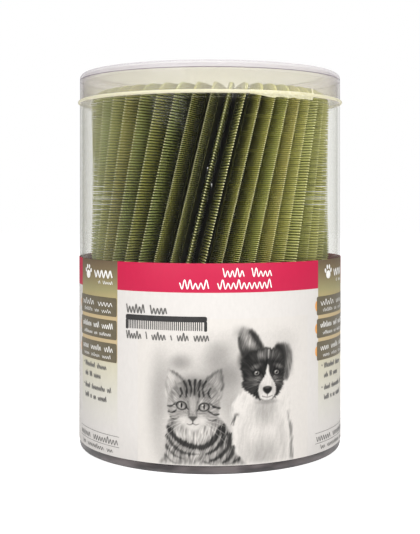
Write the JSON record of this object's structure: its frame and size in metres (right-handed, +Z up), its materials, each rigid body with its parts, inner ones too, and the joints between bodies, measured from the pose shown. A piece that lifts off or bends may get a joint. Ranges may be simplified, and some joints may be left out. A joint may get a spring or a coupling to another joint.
{
  "type": "flea comb canister",
  "caption": "Clear counter canister with a lift-off lid and printed sleeve, full of leaning double-sided flea combs. A comb draws out, tied to the lid's travel only for posing.",
  "frame": {"origin": "centre of the foot ring, on the surface that the canister stands on", "axes": "+Z up the canister's axis, -Y the front"},
  "size_m": [0.132, 0.132, 0.1837],
  "materials": {
    "clear_jar": "clear gloss",
    "clear_lid": "clear gloss",
    "tape": "satin",
    "printed_label": "satin printed",
    "card": "matte board",
    "comb_plastic": "semi-gloss moulded"
  },
  "bodies": {
    "jar": {"canister_body": "clear_jar", "wrap_label": "printed_label", "layer_divider": "card", "upper_comb_02": "comb_plastic", "upper_comb_03": "comb_plastic", "upper_comb_04": "comb_plastic", "upper_comb_05": "comb_plastic", "upper_comb_06": "comb_plastic", "upper_comb_07": "comb_plastic", "upper_comb_08": "comb_plastic", "upper_comb_09": "comb_plastic", "upper_comb_10": "comb_plastic", "upper_comb_11": "comb_plastic", "upper_comb_12": "comb_plastic", "upper_comb_13": "comb_plastic", "upper_comb_14": "comb_plastic", "upper_comb_15": "comb_plastic", "upper_comb_16": "comb_plastic", "upper_comb_17": "comb_plastic", "upper_comb_18": "comb_plastic", "upper_comb_19": "comb_plastic", "upper_comb_20": "comb_plastic", "upper_comb_21": "comb_plastic", "upper_comb_22": "comb_plastic", "upper_comb_23": "comb_plastic", "upper_comb_24": "comb_plastic", "upper_comb_25": "comb_plastic", "upper_comb_26": "comb_plastic", "upper_comb_27": "comb_plastic", "upper_comb_28": "comb_plastic", "upper_comb_29": "comb_plastic", "upper_comb_30": "comb_plastic", "upper_comb_31": "comb_plastic", "upper_comb_32": "comb_plastic", "upper_comb_33": "comb_plastic", "upper_comb_34": "comb_plastic", "upper_comb_35": "comb_plastic", "upper_comb_36": "comb_plastic", "upper_comb_37": "comb_plastic", "upper_comb_38": "comb_plastic", "upper_comb_39": "comb_plastic", "upper_comb_40": "comb_plastic", "upper_comb_41": "comb_plastic", "upper_comb_42": "comb_plastic", "upper_comb_43": "comb_plastic", "upper_comb_44": "comb_plastic", "upper_comb_45": "comb_plastic", "lower_combs_1": "comb_plastic", "lower_combs_2": "comb_plastic", "lower_combs_3": "comb_plastic", "lower_combs_4": "comb_plastic", "lower_combs_5": "comb_plastic"},
    "lid": {"lid": "clear_lid", "seal_tape": "tape"},
    "drawn_comb": {"front_comb": "comb_plastic"}
  },
  "joints": [
    {"name": "lid_lift", "type": "slide", "parent": "jar", "child": "lid", "axis": [0, 0, 1], "range_m": [0, 0.15]},
    {"name": "comb_draw", "type": "slide", "parent": "jar", "child": "drawn_comb", "axis": [0.2326, -0.0343, 0.972], "range_m": [0, 0.105]}
  ],
  "couplings": [
    {"joint": "comb_draw", "follows": "lid_lift", "ratio": 0.7}
  ]
}
